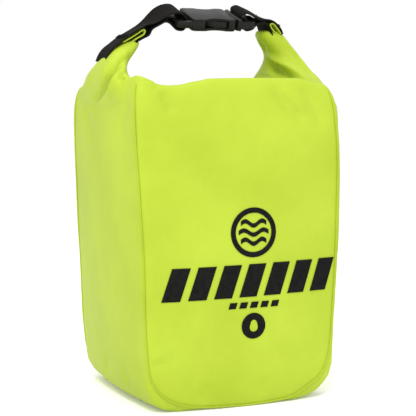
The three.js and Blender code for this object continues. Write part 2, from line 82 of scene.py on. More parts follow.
class NodeSheet:
    """A short way to lay out one material's nodes."""

    def __init__(self, name: str) -> None:
        """Starts an empty node material with a Principled surface."""
        self.material = bpy.data.materials.new(name)
        self.material.use_nodes = True
        self.tree = self.material.node_tree
        self.surface = self.tree.nodes["Principled BSDF"]

    def add(self, kind: str, **values: object) -> bpy.types.Node:
        """Adds a node and sets its inputs or properties.

        Args:
            kind: the node's type name.
            values: input sockets by name (underscores for spaces) or node properties.

        Returns:
            The new node.
        """
        node = self.tree.nodes.new(kind)
        for key, value in values.items():
            socket = key.replace("_", " ")
            if socket in node.inputs:
                node.inputs[socket].default_value = value
            else:
                setattr(node, key, value)
        return node

    def join(self, source: bpy.types.NodeSocket, target: bpy.types.NodeSocket) -> None:
        """Links one socket to another."""
        self.tree.links.new(source, target)

    def place(self, scale: Point3 = (1, 1, 1), uv: bool = False, turn: float = 0.0) -> bpy.types.NodeSocket:
        """Gives scaled object or UV coordinates.

        Args:
            scale: how often the pattern repeats per metre on each axis.
            uv: reads the piece's own UV map instead of object coordinates.
            turn: the pattern's turn about Z, in radians.

        Returns:
            The mapped coordinate socket.
        """
        at = self.add("ShaderNodeTexCoord")
        mapping = self.add("ShaderNodeMapping")
        mapping.inputs["Scale"].default_value = scale
        mapping.inputs["Rotation"].default_value = (0, 0, turn)
        self.join(at.outputs["UV" if uv else "Object"], mapping.inputs["Vector"])
        return mapping.outputs["Vector"]

    def math(self, operation: str, a: object, b: object = 0.0, clamp: bool = False) -> bpy.types.NodeSocket:
        """Adds a Math node.

        Args:
            operation: the node's operation.
            a: a socket or a number.
            b: a socket or a number.
            clamp: keeps the result from 0 to 1.

        Returns:
            Its value socket.
        """
        node = self.add("ShaderNodeMath", operation=operation, use_clamp=clamp)
        for socket, value in zip(node.inputs, (a, b)):
            if isinstance(value, bpy.types.NodeSocket):
                self.join(value, socket)
            else:
                socket.default_value = value
        return node.outputs[0]

    def ramp(
        self, factor: bpy.types.NodeSocket, stops: Sequence[tuple[float, tuple[float, ...]]]
    ) -> bpy.types.NodeSocket:
        """Maps a factor to colours.

        Args:
            factor: the socket that drives the ramp.
            stops: (position, colour) pairs.

        Returns:
            The colour socket.
        """
        node = self.add("ShaderNodeValToRGB")
        elements = node.color_ramp.elements
        while len(elements) < len(stops):
            elements.new(0.5)
        for element, (position, colour) in zip(elements, stops):
            element.position = position
            element.color = (*colour[:3], 1.0)
        self.join(factor, node.inputs["Fac"])
        return node.outputs["Color"]

    def bump(
        self,
        height: bpy.types.NodeSocket,
        strength: float,
        distance: float,
        under: bpy.types.NodeSocket | None = None,
    ) -> bpy.types.NodeSocket:
        """Adds a bump, optionally over another one.

        Args:
            height: the height socket.
            strength: the bump's strength.
            distance: its depth in metres.
            under: a normal to bump on top of.

        Returns:
            The normal socket.
        """
        node = self.add("ShaderNodeBump", Strength=strength, Distance=distance)
        self.join(height, node.inputs["Height"])
        if under is not None:
            self.join(under, node.inputs["Normal"])
        return node.outputs["Normal"]


@dataclass(frozen=True)
class CoatedFabric:
    """Fluorescent woven nylon with a satin coating, lifted by a faint painted glow."""

    name: str
    low: Point3 = (0.345, 0.445, 0.026)
    high: Point3 = (0.410, 0.525, 0.040)
    # Emission in the cloth's own colour: a faint painted glow that brightens the cloth in its shaded pockets.
    painted_glow: float = 0.03
    threads: float = 520.0

    def build(self) -> bpy.types.Material:
        """Builds the weave, its cloudy colour, its faint painted glow and its fine creases."""
        s = NodeSheet(self.name)
        cloud = s.add("ShaderNodeTexNoise", Scale=14.0, Detail=4.0, Roughness=0.55)
        s.join(s.place(), cloud.inputs["Vector"])
        colour = s.ramp(cloud.outputs["Fac"], [(0.3, self.low), (0.72, self.high)])
        s.join(colour, s.surface.inputs["Base Color"])
        # The emission is painted glow, not a lamp: it lifts the cloth's shaded creases and pockets.
        s.join(colour, s.surface.inputs["Emission Color"])
        s.surface.inputs["Emission Strength"].default_value = self.painted_glow
        s.surface.inputs["Sheen Weight"].default_value = 0.01
        s.surface.inputs["Sheen Roughness"].default_value = 0.4
        s.surface.inputs["Specular IOR Level"].default_value = 0.14
        rough = s.math("MULTIPLY_ADD", cloud.outputs["Fac"], 0.18)
        rough.node.inputs[2].default_value = 0.42
        s.join(rough, s.surface.inputs["Roughness"])
        warp = s.add("ShaderNodeTexWave", Scale=self.threads, bands_direction="Z", Distortion=0.25,
            Detail=1.0)
        weft = s.add("ShaderNodeTexWave", Scale=self.threads, bands_direction="DIAGONAL", Distortion=0.25,
            Detail=1.0)
        s.join(s.place(), warp.inputs["Vector"])
        s.join(s.place((1, 1, 0)), weft.inputs["Vector"])
        weave = s.math("ADD", warp.outputs["Fac"], weft.outputs["Fac"])
        crumple = s.add("ShaderNodeTexNoise", Scale=95.0, Detail=3.0, Roughness=0.6, Distortion=0.6)
        s.join(s.place(), crumple.inputs["Vector"])
        base = s.bump(crumple.outputs["Fac"], 0.16, 0.0016)
        s.join(s.bump(weave, 0.12, 0.00012, base), s.surface.inputs["Normal"])
        return s.material


@dataclass(frozen=True)
class RibbedWebbing:
    """Black polypropylene webbing with ribs along it and picks across it."""

    name: str = "black_ribbed_webbing"

    def build(self) -> bpy.types.Material:
        """Builds the woven ribs from the strip's own UV map, in metres."""
        s = NodeSheet(self.name)
        fuzz = s.add("ShaderNodeTexNoise", Scale=420.0, Detail=3.0)
        s.join(s.place(uv=True), fuzz.inputs["Vector"])
        ribs = s.add("ShaderNodeTexWave", Scale=190.0, bands_direction="X", Distortion=0.6, Detail=1.0)
        picks = s.add("ShaderNodeTexWave", Scale=270.0, bands_direction="Y", Distortion=0.8, Detail=1.0)
        s.join(s.place(uv=True), ribs.inputs["Vector"])
        s.join(s.place(uv=True), picks.inputs["Vector"])
        weave = s.math("MULTIPLY", ribs.outputs["Fac"], picks.outputs["Fac"])
        mixed = s.math("MULTIPLY_ADD", fuzz.outputs["Fac"], 0.5)
        s.join(weave, mixed.node.inputs[2])
        colour = s.ramp(mixed, [(0.1, (0.003, 0.0026, 0.0022)), (0.9, (0.014, 0.012, 0.010))])
        s.join(colour, s.surface.inputs["Base Color"])
        s.surface.inputs["Roughness"].default_value = 0.82
        s.surface.inputs["Specular IOR Level"].default_value = 0.06
        base = s.bump(weave, 0.4, 0.0002)
        s.join(s.bump(fuzz.outputs["Fac"], 0.25, 0.0002, base), s.surface.inputs["Normal"])
        return s.material


@dataclass(frozen=True)
class MouldedAcetal:
    """Black moulded buckle plastic with a fine spark-eroded texture and scattered scuffs."""

    name: str = "black_moulded_acetal"

    def build(self) -> bpy.types.Material:
        """Builds the matt grain and slight wear."""
        s = NodeSheet(self.name)
        grain = s.add("ShaderNodeTexNoise", Scale=2600.0, Detail=2.0)
        s.join(s.place(), grain.inputs["Vector"])
        scuff = s.add("ShaderNodeTexNoise", Scale=160.0, Detail=6.0, Roughness=0.7, Distortion=1.2)
        s.join(s.place((1, 3, 1)), scuff.inputs["Vector"])
        colour = s.ramp(scuff.outputs["Fac"],
            [(0.35, (0.0042, 0.0041, 0.0039)), (0.8, (0.012, 0.0117, 0.011))])
        s.join(colour, s.surface.inputs["Base Color"])
        rough = s.math("MULTIPLY_ADD", scuff.outputs["Fac"], 0.25)
        rough.node.inputs[2].default_value = 0.30
        s.join(rough, s.surface.inputs["Roughness"])
        s.surface.inputs["Specular IOR Level"].default_value = 0.18
        s.join(s.bump(grain.outputs["Fac"], 0.22, 0.00012), s.surface.inputs["Normal"])
        return s.material


@dataclass(frozen=True)
class PrintInk:
    """Matt screen-printed ink that lets the weave through."""

    name: str
    low: Point3 = (0.004, 0.004, 0.004)
    high: Point3 = (0.010, 0.010, 0.009)

    def build(self) -> bpy.types.Material:
        """Builds the ink's faint mottling and weave."""
        s = NodeSheet(self.name)
        mottle = s.add("ShaderNodeTexNoise", Scale=260.0, Detail=4.0)
        s.join(s.place(), mottle.inputs["Vector"])
        s.join(s.ramp(mottle.outputs["Fac"], [(0.3, self.low), (0.75, self.high)]),
            s.surface.inputs["Base Color"])
        rough = s.math("MULTIPLY_ADD", mottle.outputs["Fac"], 0.2)
        rough.node.inputs[2].default_value = 0.6
        s.join(rough, s.surface.inputs["Roughness"])
        s.surface.inputs["Specular IOR Level"].default_value = 0.08
        weave = s.add("ShaderNodeTexWave", Scale=520.0, bands_direction="DIAGONAL", Distortion=0.3)
        s.join(s.place(), weave.inputs["Vector"])
        s.join(s.bump(weave.outputs["Fac"], 0.15, 0.0001), s.surface.inputs["Normal"])
        return s.material


@dataclass(frozen=True)
class Thread:
    """Twisted sewing thread."""

    name: str
    colour: Point3

    def build(self) -> bpy.types.Material:
        """Builds the thread's twist and fuzz."""
        s = NodeSheet(self.name)
        twist = s.add("ShaderNodeTexWave", Scale=240.0, bands_direction="DIAGONAL", Distortion=1.0)
        s.join(s.place(), twist.inputs["Vector"])
        dark = tuple(c * 0.7 for c in self.colour)
        s.join(s.ramp(twist.outputs["Fac"], [(0.2, dark), (0.8, self.colour)]),
            s.surface.inputs["Base Color"])
        s.surface.inputs["Roughness"].default_value = 0.7
        s.surface.inputs["Specular IOR Level"].default_value = 0.1
        s.join(s.bump(twist.outputs["Fac"], 0.4, 0.0001), s.surface.inputs["Normal"])
        return s.material


@dataclass(frozen=True)
class StudioPaint:
    """Plain pale floor."""

    name: str = "pale_floor"

    def build(self) -> bpy.types.Material:
        """Builds a matt white with hardly any variation."""
        s = NodeSheet(self.name)
        s.surface.inputs["Base Color"].default_value = (0.93, 0.93, 0.93, 1)
        s.surface.inputs["Roughness"].default_value = 0.9
        s.surface.inputs["Emission Color"].default_value = (1, 1, 1, 1)
        s.surface.inputs["Emission Strength"].default_value = 0.12
        return s.material


# ---------------------------------------------------------------- mesh work


class Bench:
    """Shared mesh steps."""

    @staticmethod
    def piece(bm: bmesh.types.BMesh, name: str, recalc: bool = True) -> bpy.types.Object:
        """Turns a bmesh into a smooth-shaded object at the origin.

        Args:
            bm: the bmesh, which is freed.
            name: the piece's name.
            recalc: makes the faces point outwards first.

        Returns:
            The new object.
        """
        if recalc:
            bmesh.ops.recalc_face_normals(bm, faces=bm.faces[:])
        mesh = bpy.data.meshes.new(name)
        bm.to_mesh(mesh)
        bm.free()
        mesh.shade_smooth()
        obj = bpy.data.objects.new(name, mesh)
        bpy.context.scene.collection.objects.link(obj)
        return obj

    @staticmethod
    def bake(obj: bpy.types.Object) -> bpy.types.Object:
        """Applies an object's modifiers and returns it."""
        bpy.context.view_layer.update()
        graph = bpy.context.evaluated_depsgraph_get()
        mesh = bpy.data.meshes.new_from_object(obj.evaluated_get(graph))
        old = obj.data
        obj.modifiers.clear()
        obj.data = mesh
        bpy.data.meshes.remove(old)
        return obj

    @staticmethod
    def points(obj: bpy.types.Object) -> np.ndarray:
        """The vertices as an n by 3 array."""
        co = np.empty(len(obj.data.vertices) * 3, np.float32)
        obj.data.vertices.foreach_get("co", co)
        return co.reshape(-1, 3).astype(float)

    @staticmethod
    def normals(obj: bpy.types.Object) -> np.ndarray:
        """The vertex normals as an n by 3 array."""
        no = np.empty(len(obj.data.vertices) * 3, np.float32)
        obj.data.vertex_normals.foreach_get("vector", no)
        return no.reshape(-1, 3).astype(float)

    @staticmethod
    def move(obj: bpy.types.Object, co: np.ndarray) -> None:
        """Puts the vertices where co says."""
        obj.data.vertices.foreach_set("co", co.astype(np.float32).ravel())
        obj.data.update()

    @staticmethod
    def relax(obj: bpy.types.Object, rounds: int, weight: np.ndarray | float) -> None:
        """Evens a surface by moving each vertex towards its neighbours.

        Args:
            obj: the piece.
            rounds: how many passes.
            weight: how far each vertex moves, from 0 to 1.
        """
        co = Bench.points(obj)
        pairs = np.empty(len(obj.data.edges) * 2, np.int32)
        obj.data.edges.foreach_get("vertices", pairs)
        a, b = pairs.reshape(-1, 2).T
        count = np.bincount(a, minlength=len(co)) + np.bincount(b, minlength=len(co))
        w = np.broadcast_to(np.asarray(weight, float), len(co))[:, None]
        for _ in range(rounds):
            total = np.empty_like(co)
            for k in range(3):
                total[:, k] = np.bincount(a, co[b, k], len(co)) + np.bincount(b, co[a, k], len(co))
            co += w * (total / count[:, None] - co)
        Bench.move(obj, co)

    @staticmethod
    def cube(cuts: int) -> bmesh.types.BMesh:
        """A cube from -1 to 1 with evenly cut faces."""
        bm = bmesh.new()
        bmesh.ops.create_cube(bm, size=2.0)
        bmesh.ops.subdivide_edges(bm, edges=bm.edges[:], cuts=cuts, use_grid_fill=True)
        return bm

    @staticmethod
    def strip(
        across: int,
        along: int,
        place: Callable[[float, float], Vector],
        uv: Callable[[float, float], Point],
    ) -> bmesh.types.BMesh:
        """A sheet bent by a function.

        Args:
            across: faces across it.
            along: faces along it.
            place: gives the point for (-1..1 across, 0..1 along).
            uv: gives its UV in metres for the same pair.

        Returns:
            The open sheet.
        """
        bm = bmesh.new()
        bmesh.ops.create_grid(bm, x_segments=across, y_segments=along, size=1.0)
        layer = bm.loops.layers.uv.new("weave")
        for face in bm.faces:
            for loop in face.loops:
                co = loop.vert.co
                loop[layer].uv = uv(co.x, (co.y + 1) / 2)
        for vert in bm.verts:
            vert.co = place(vert.co.x, (vert.co.y + 1) / 2)
        return bm

    @staticmethod
    def rope(name: str, points: Sequence[Vector], radius: float) -> bpy.types.Object:
        """Runs a closed round tube through points.

        Args:
            name: the piece's name.
            points: its centre line in metres.
            radius: its radius in metres.

        Returns:
            The closed tube.
        """
        curve = bpy.data.curves.new(name, "CURVE")
        curve.dimensions = "3D"
        curve.bevel_depth = radius
        curve.bevel_resolution = 3
        curve.use_fill_caps = True
        spline = curve.splines.new("POLY")
        spline.points.add(len(points) - 1)
        for knot, at in zip(spline.points, points):
            knot.co = (*at, 1.0)
        holder = bpy.data.objects.new(name, curve)
        bpy.context.scene.collection.objects.link(holder)
        bpy.context.view_layer.update()
        mesh = bpy.data.meshes.new_from_object(holder.evaluated_get(bpy.context.evaluated_depsgraph_get()))
        bpy.data.objects.remove(holder)
        bm = bmesh.new()
        bm.from_mesh(mesh)
        bpy.data.meshes.remove(mesh)
        bmesh.ops.remove_doubles(bm, verts=bm.verts[:], dist=1e-7)
        return Bench.piece(bm, name)

    @staticmethod
    def thicken(obj: bpy.types.Object, thick: float, rim: float = 0.0) -> bpy.types.Object:
        """Gives a sheet a wall and, if asked, a rounded rim.

        Args:
            obj: the open sheet.
            thick: the wall, in metres, split evenly about the sheet.
            rim: the rim's rounding, in metres.

        Returns:
            The closed piece.
        """
        wall = obj.modifiers.new("wall", "SOLIDIFY")
        wall.thickness = thick
        wall.offset = 0.0
        if rim > 0:
            edge = obj.modifiers.new("rim", "BEVEL")
            edge.width = rim
            edge.segments = 2
            edge.limit_method = "ANGLE"
            edge.angle_limit = math.radians(50)
        Bench.bake(obj)
        obj.data.shade_smooth()
        return obj


class Path:
    """A smooth curve through points, walked by its length."""

    def __init__(self, points: Sequence[Sequence[float]], steps: int = 400) -> None:
        """Samples a centripetal Catmull-Rom curve.

        Args:
            points: two or three numbers each.
            steps: samples along the whole curve.
        """
        p = np.asarray(points, float)
        ends = [2 * p[0] - p[1], *p, 2 * p[-1] - p[-2]]
        q = np.asarray(ends)
        out = []
        spans = len(p) - 1
        each = max(2, steps // spans)
        for i in range(spans):
            a, b, c, d = q[i : i + 4]
            t = np.cumsum([0.0] + [max(1e-9, np.linalg.norm(v - u)) ** 0.5 for u,
                v in ((a, b), (b, c), (c, d))])
            s = np.linspace(t[1], t[2], each, endpoint=i == spans - 1)[:, None]
            ab = (t[1] - s) / (t[1] - t[0]) * a + (s - t[0]) / (t[1] - t[0]) * b
            bc = (t[2] - s) / (t[2] - t[1]) * b + (s - t[1]) / (t[2] - t[1]) * c
            cd = (t[3] - s) / (t[3] - t[2]) * c + (s - t[2]) / (t[3] - t[2]) * d
            abc = (t[2] - s) / (t[2] - t[0]) * ab + (s - t[0]) / (t[2] - t[0]) * bc
            bcd = (t[3] - s) / (t[3] - t[1]) * bc + (s - t[1]) / (t[3] - t[1]) * cd
            out.append((t[2] - s) / (t[2] - t[1]) * abc + (s - t[1]) / (t[2] - t[1]) * bcd)
        self.samples = np.vstack(out)
        gaps = np.linalg.norm(np.diff(self.samples, axis=0), axis=1)
        self.run = np.concatenate([[0.0], np.cumsum(gaps)])
        self.length = float(self.run[-1])

    def at(self, share: float) -> np.ndarray:
        """The point at a share of the length."""
        d = min(max(share, 0.0), 1.0) * self.length
        return np.array([np.interp(d, self.run, self.samples[:, k]) for k in range(self.samples.shape[1])])

    def heading(self, share: float) -> np.ndarray:
        """The unit direction at a share of the length."""
        step = 0.004
        way = self.at(share + step) - self.at(share - step)
        return way / max(1e-9, np.linalg.norm(way))


def smooth(x: float | np.ndarray, low: float, high: float) -> float | np.ndarray:
    """An eased step from 0 at low to 1 at high."""
    t = np.clip((x - low) / (high - low), 0.0, 1.0)
    return t * t * (3 - 2 * t)


# ---------------------------------------------------------------- the bag's skin


@dataclass
class BagShape:
    """The filled bag's outer form in millimetres, held close to the frame's panels but sagging unevenly."""

    shoulder: float = 266.0
    corner_left: float = 24.0
    corner_right: float = 29.0
    front_bulge: float = 8.0
    side_bulge: float = 6.0
    dish: float = 17.0
    left_edge: Sequence[Point] = ((0, 85), (20, 85.5), (110, 89), (200, 92.5), (240, 93.5), (266, 93.5))
    right_edge: Sequence[Point] = ((0, 80), (20, 84), (61, 86), (86, 87), (112, 89), (150, 90.5), (190, 91),
        (240, 89), (266, 83))
    front_edge: Sequence[Point] = ((0, 78), (20, 80), (60, 80), (266, 79))
    rear_edge: Sequence[Point] = ((0, 73), (20, 80), (60, 83), (110, 83.5), (200, 84), (240, 82), (266, 77))
    front_ridge: Sequence[Point] = ((-95, 278), (-84, 273), (-72, 268), (-60, 268.5), (-35, 274), (0, 275),
        (25, 275), (60, 273.5), (92, 266))
    rear_ridge: Sequence[Point] = ((-90, 268), (-72, 262), (-50, 254), (50, 254), (72, 262), (90, 266))

    @staticmethod
    def look_up(table: Sequence[Point], at: float) -> float:
        """Reads a table of (place, value) pairs."""
        rows = np.asarray(table, float)
        return float(np.interp(at, rows[:, 0], rows[:, 1]))

    def full(self, z: float) -> float:
        """How far the panels swell at a height, from 0 to 1."""
        t = min(max(z / self.shoulder, 0.0), 1.0)
        return max(0.0, math.sin(math.pi * min(1.0, t * 0.82 + 0.12))) ** 0.8

    def place(self, u: float, v: float, w: float) -> Vector:
        """Maps a point of the -1 to 1 cube onto the bag, in metres.

        Args:
            u: across, from the left seam to the right.
            v: front to back.
            w: base to shoulder.

        Returns:
            The point on the bag.
        """
        t = (w + 1) / 2
        share = 0.11
        corner = (self.corner_left - 7 * (1 - v * v)) if u < 0 else self.corner_right
        if t < share:
            turn = (t / share) * math.pi / 2
            z = corner * (1 - math.cos(turn))
            shrink = corner * (1 - math.sin(turn))
        else:
            z = corner + (self.shoulder - corner) * (t - share) / (1 - share)
            shrink = 0.0
        wide = self.look_up(self.left_edge if u < 0 else self.right_edge, z) - shrink
        deep = self.look_up(self.front_edge if v < 0 else self.rear_edge, z)
        x = u * (wide + self.side_bulge * self.full(z) * (1 - v * v) * min(1.0, z / corner))
        y = v * (deep + self.front_bulge * self.full(z) * (1 - u * u))
        to_rear = float(smooth(v, -0.3, 0.3))
        ridge = self.look_up(self.front_ridge, x) * (1 - to_rear) + self.look_up(self.rear_ridge, x) * to_rear
        lift = (ridge - self.shoulder) * max(0.0, (t - 0.75) / 0.25) ** 2
        curl = max(0.0, (t - 0.95) / 0.05) ** 2
        y -= v * 5 * curl
        x -= u * 3 * curl
        if w > 0.999:
            inner = max(abs(u) ** 4, abs(v) ** 2.4)
            lift = lift * inner - self.dish * (1 - inner)
        return Vector((x, y, z + lift)) * MM


@dataclass
class NeckEar:
    """Fabric that climbs from a shoulder to one arm of the roll.

    Each slice is (z, x low, x high, y front, y back).
    """

    slices: Sequence[tuple[float, float, float, float, float]]
    cuts: int = 22
    roundness: float = 2.6

    def build(self) -> bmesh.types.BMesh:
        """Lofts the slices into a closed form.

        Returns:
            The form as a bmesh.
        """
        rows = np.asarray(self.slices, float)
        share = np.linspace(0, 1, len(rows))
        bm = Bench.cube(self.cuts)
        for vert in bm.verts:
            u, v, w = vert.co
            t = (w + 1) / 2
            z, x0, x1, y0, y1 = (np.interp(t, share, rows[:, k]) for k in range(5))
            ru = u * math.sqrt(1 - v * v / self.roundness)
            rv = v * math.sqrt(1 - u * u / self.roundness)
            x = (x0 + x1) / 2 + (x1 - x0) / 2 * ru
            y = (y0 + y1) / 2 + (y1 - y0) / 2 * rv
            vert.co = Vector((x, y, z)) * MM
        return bm


@dataclass
class Fold:
    """One crease or swell of the cloth: a line in millimetres, its half width and its height."""

    line: Sequence[Point3]
    reach: float
    height: float
    taper: float = 0.35

    def lift(self, co: np.ndarray, tree: BVHTree | None = None) -> np.ndarray:
        """How far the fold moves each point along its normal.

        Args:
            co: points in millimetres.
            tree: a surface in metres that the line is laid on first, if given.

        Returns:
            Heights in millimetres.
        """
        pts = np.asarray(self.line, float)
        if tree is not None:
            drawn = Path(self.line, 60).samples[::4]
            pts = np.array([np.asarray(tree.find_nearest(Vector(p) * MM)[0]) / MM for p in drawn])
            pts = pts[np.concatenate([[True], np.linalg.norm(np.diff(pts, axis=0), axis=1) > 0.05])]
        steps = np.linalg.norm(np.diff(pts, axis=0), axis=1)
        run = np.concatenate([[0], np.cumsum(steps)])
        best = np.full(len(co), 1e9)
        where = np.zeros(len(co))
        for i in range(len(pts) - 1):
            way = pts[i + 1] - pts[i]
            t = np.clip(((co - pts[i]) @ way) / (way @ way), 0, 1)
            gap = np.linalg.norm(co - (pts[i] + t[:, None] * way), axis=1)
            near = gap < best
            best[near] = gap[near]
            where[near] = (run[i] + t[near] * steps[i]) / run[-1]
        ends = np.minimum(1, np.minimum(where, 1 - where) / max(1e-6, self.taper))
        ends = ends * ends * (3 - 2 * ends)
        return self.height * ends * np.exp(-((best / self.reach) ** 2))


LEFT_EAR = NeckEar(
    [
        (252, -99, -62, -64, 62),
        (261.8, -102, -78, -60, 58),
        (266.8, -103.5, -79, -55, 50),
        (271.8, -104, -81, -49, 40),
        (276.8, -104, -83.5, -43, 29),
        (281.8, -102, -82.5, -39, 19),
        (286.8, -100, -79, -36, 9),
        (291.7, -97.4, -74, -34, 4),
        (296.6, -92.6, -70, -32, -1),
        (300.7, -86, -67, -29, -6),
        (303.5, -80, -67.5, -27, -9),
    ],
)
RIGHT_EAR = NeckEar(
    [
        (252, 40, 96, -62, 58),
        (261, 47, 99, -58, 54),
        (266.4, 52, 99, -56, 50),
        (271.7, 54.5, 95.5, -50, 41),
        (277, 54.5, 89.5, -45, 31),
        (282.3, 55.5, 85, -40, 22),
        (287.5, 55, 81.5, -36, 14),
        (292.7, 52.5, 78, -33, 7),
        (297.9, 47.5, 73.5, -32, 2),
        (303.1, 42.5, 70, -31, -1),
        (308.3, 39.5, 65, -30, -4),
        (313, 38.5, 59, -28, -9),
    ],
)


CREASES = (
    Fold([(-78, -30, 298), (-83.5, -31.6, 289), (-95.6, -38.4, 280), (-102, -27, 266), (-99, 7.5, 253),
        (-96, 30, 244)], 2.6, -4.6),
    Fold([(-77, -33, 293), (-88, -39, 284), (-94, -43.3, 276), (-100.5, -34.8, 262), (-99, -12, 252)], 2.8,
        2.6),
    Fold([(-95, -41.8, 277), (-95.4, -47.3, 272.7), (-95.8, -51, 269)], 3.2, -4.0),
    Fold([(-96, 35.8, 242.5), (-96, 27, 244.4), (-96.3, 18, 246.3)], 3.2, 1.5),
    Fold([(-85.7, -30.6, 296), (-96.6, -31.6, 288), (-102.7, -26.7, 277), (-101.4, -2, 260)], 4.5, 2.2),
    Fold([(-73.7, -78, 264), (-70.8, -79.4, 258), (-67, -80.4, 250), (-62, -82, 240)], 4.5, -2.8),
    Fold([(-90, -72, 271), (-83.9, -73.8, 270), (-75.3, -77.7, 263)], 4.0, 1.4),
    Fold([(44, -12, 303), (52.6, -14.5, 292), (58.6, -31.7, 283), (67.7, -46.2, 273.5), (74, -72, 266),
        (80, -79, 258)], 3.4, 4.0),
    Fold([(54.4, -4, 289), (55.4, -18.8, 280.4), (60, -36, 274), (68, -55, 268)], 5.2, -7.0),
    Fold([(57, 16, 275.5), (54, -11.6, 272.6), (50, -40, 270)], 1.4, -1.1),
    Fold([(57, 16, 272.5), (54, -11.6, 269.6), (50, -40, 267.5)], 1.4, -1.1),
    Fold([(41, -14.5, 308), (48.2, -13.6, 298), (53.8, -10, 289)], 3.2, -2.8),
    Fold([(63, -29, 303), (72, -33, 291), (80, -42, 279), (88, -55, 268)], 4.0, -2.6),
    Fold([(67, -28, 304), (77, -33, 291), (86, -42, 279)], 4.0, 1.3),
    Fold([(22, -80.7, 266), (35.4, -82, 251), (49.4, -82, 239), (58, -82, 230)], 5.0, -2.6),
    Fold([(30, -80, 268), (45, -81.5, 254), (60, -82, 240)], 5.0, 1.9),
    Fold([(48, -79, 268), (58, -81, 256), (67, -81, 240), (72, -81, 222)], 4.5, -1.4),
    Fold([(-20, -80, 266), (-28, -84, 248), (-34, -86, 226)], 8.0, -1.0),
    Fold([(-84, -79, 38), (-77.5, -81, 41), (-66, -82, 42)], 3.5, -1.3),
    Fold([(-82, -80, 46), (-72, -82, 52), (-58, -83, 56)], 4.5, 0.9),
    Fold([(-85.5, -37, 12), (-88.5, -36, 23), (-89.5, -34, 36)], 4.0, -1.3),
    Fold([(-86, 10, 14), (-90, 8, 26), (-92, 4, 40)], 5.0, -1.2),
    Fold([(74, -81, 30), (62, -83, 40), (48, -84, 46)], 4.0, -1.4),
    Fold([(76, -81, 44), (66, -83, 52), (54, -84, 60)], 5.0, 0.9),
    Fold([(-40, -84, 5), (-36, -85, 14), (-34, -85, 26)], 6.0, -1.0),
    Fold([(12, -86, 5), (14, -87, 14), (18, -87, 28)], 7.0, -1.0),
    Fold([(-96, 50, 250), (-98, 30, 232), (-97, 8, 214)], 7.0, -1.4),
    Fold([(-94, -66, 258), (-97, -52, 240), (-98, -36, 222)], 5.5, -1.2),
    Fold([(-60, 84, 254), (-30, 88, 236), (0, 90, 226)], 6.0, -1.4),
    Fold([(70, 82, 256), (44, 87, 240), (16, 89, 228)], 6.0, -1.3),
    Fold([(-82, 80, 34), (-66, 83, 44), (-48, 84, 50)], 5.0, -1.3),
    Fold([(80, 80, 34), (64, 83, 44), (46, 84, 50)], 5.0, -1.3),
    Fold([(90, 40, 252), (95, 20, 236), (96, -6, 220)], 6.0, -1.4),
    Fold([(88, -50, 14), (90, -36, 26), (92, -18, 38)], 5.0, -1.2),
)
SEAMS = {
    "front": (
        (-91.4, -72.3, 266), (-92.4, -72.9, 262), (-93.6, -73.6, 254.6), (-93.3, -75.5, 223),
        (-91.5, -77, 186), (-89.7, -78.3, 150),
        (-88.1, -78.4, 120), (-87.3, -78, 80), (-85, -78.4, 41), (-83.7, -79.2, 30), (-78.1, -80.4, 19.8),
        (-69.4, -80.3, 11.5),
        (-58, -80.5, 6.5), (-44, -80, 3.5), (-20, -80, 2.4), (20, -80, 2.4), (44, -80, 4.5),
        (59, -81, 12.4), (72.5, -81, 22.4),
        (79.3, -80.7, 41), (82, -80.4, 75), (84.1, -80.4, 109), (85.3, -80.3, 143), (86.1, -80, 178),
        (86.5, -79.4, 211),
        (84, -79.5, 237), (81, -78.6, 255), (78, -76, 264),
    ),
    "rear": (
        (-89, 72, 262), (-92, 76, 250), (-92.5, 80, 223), (-91.5, 81, 186), (-89.7, 81, 150),
        (-88.1, 81, 120), (-87, 81, 80),
        (-85, 80, 41), (-82, 79, 25), (-74, 77, 12), (-60, 76, 4), (-40, 75, 2.4), (40, 75, 2.4),
        (60, 76, 5), (72, 78, 16),
        (79, 80, 30), (82.5, 81, 60), (84.5, 81, 110), (87, 81, 150), (88, 81, 190), (86, 80, 230),
        (82, 76, 254), (78, 72, 262),
    ),
}


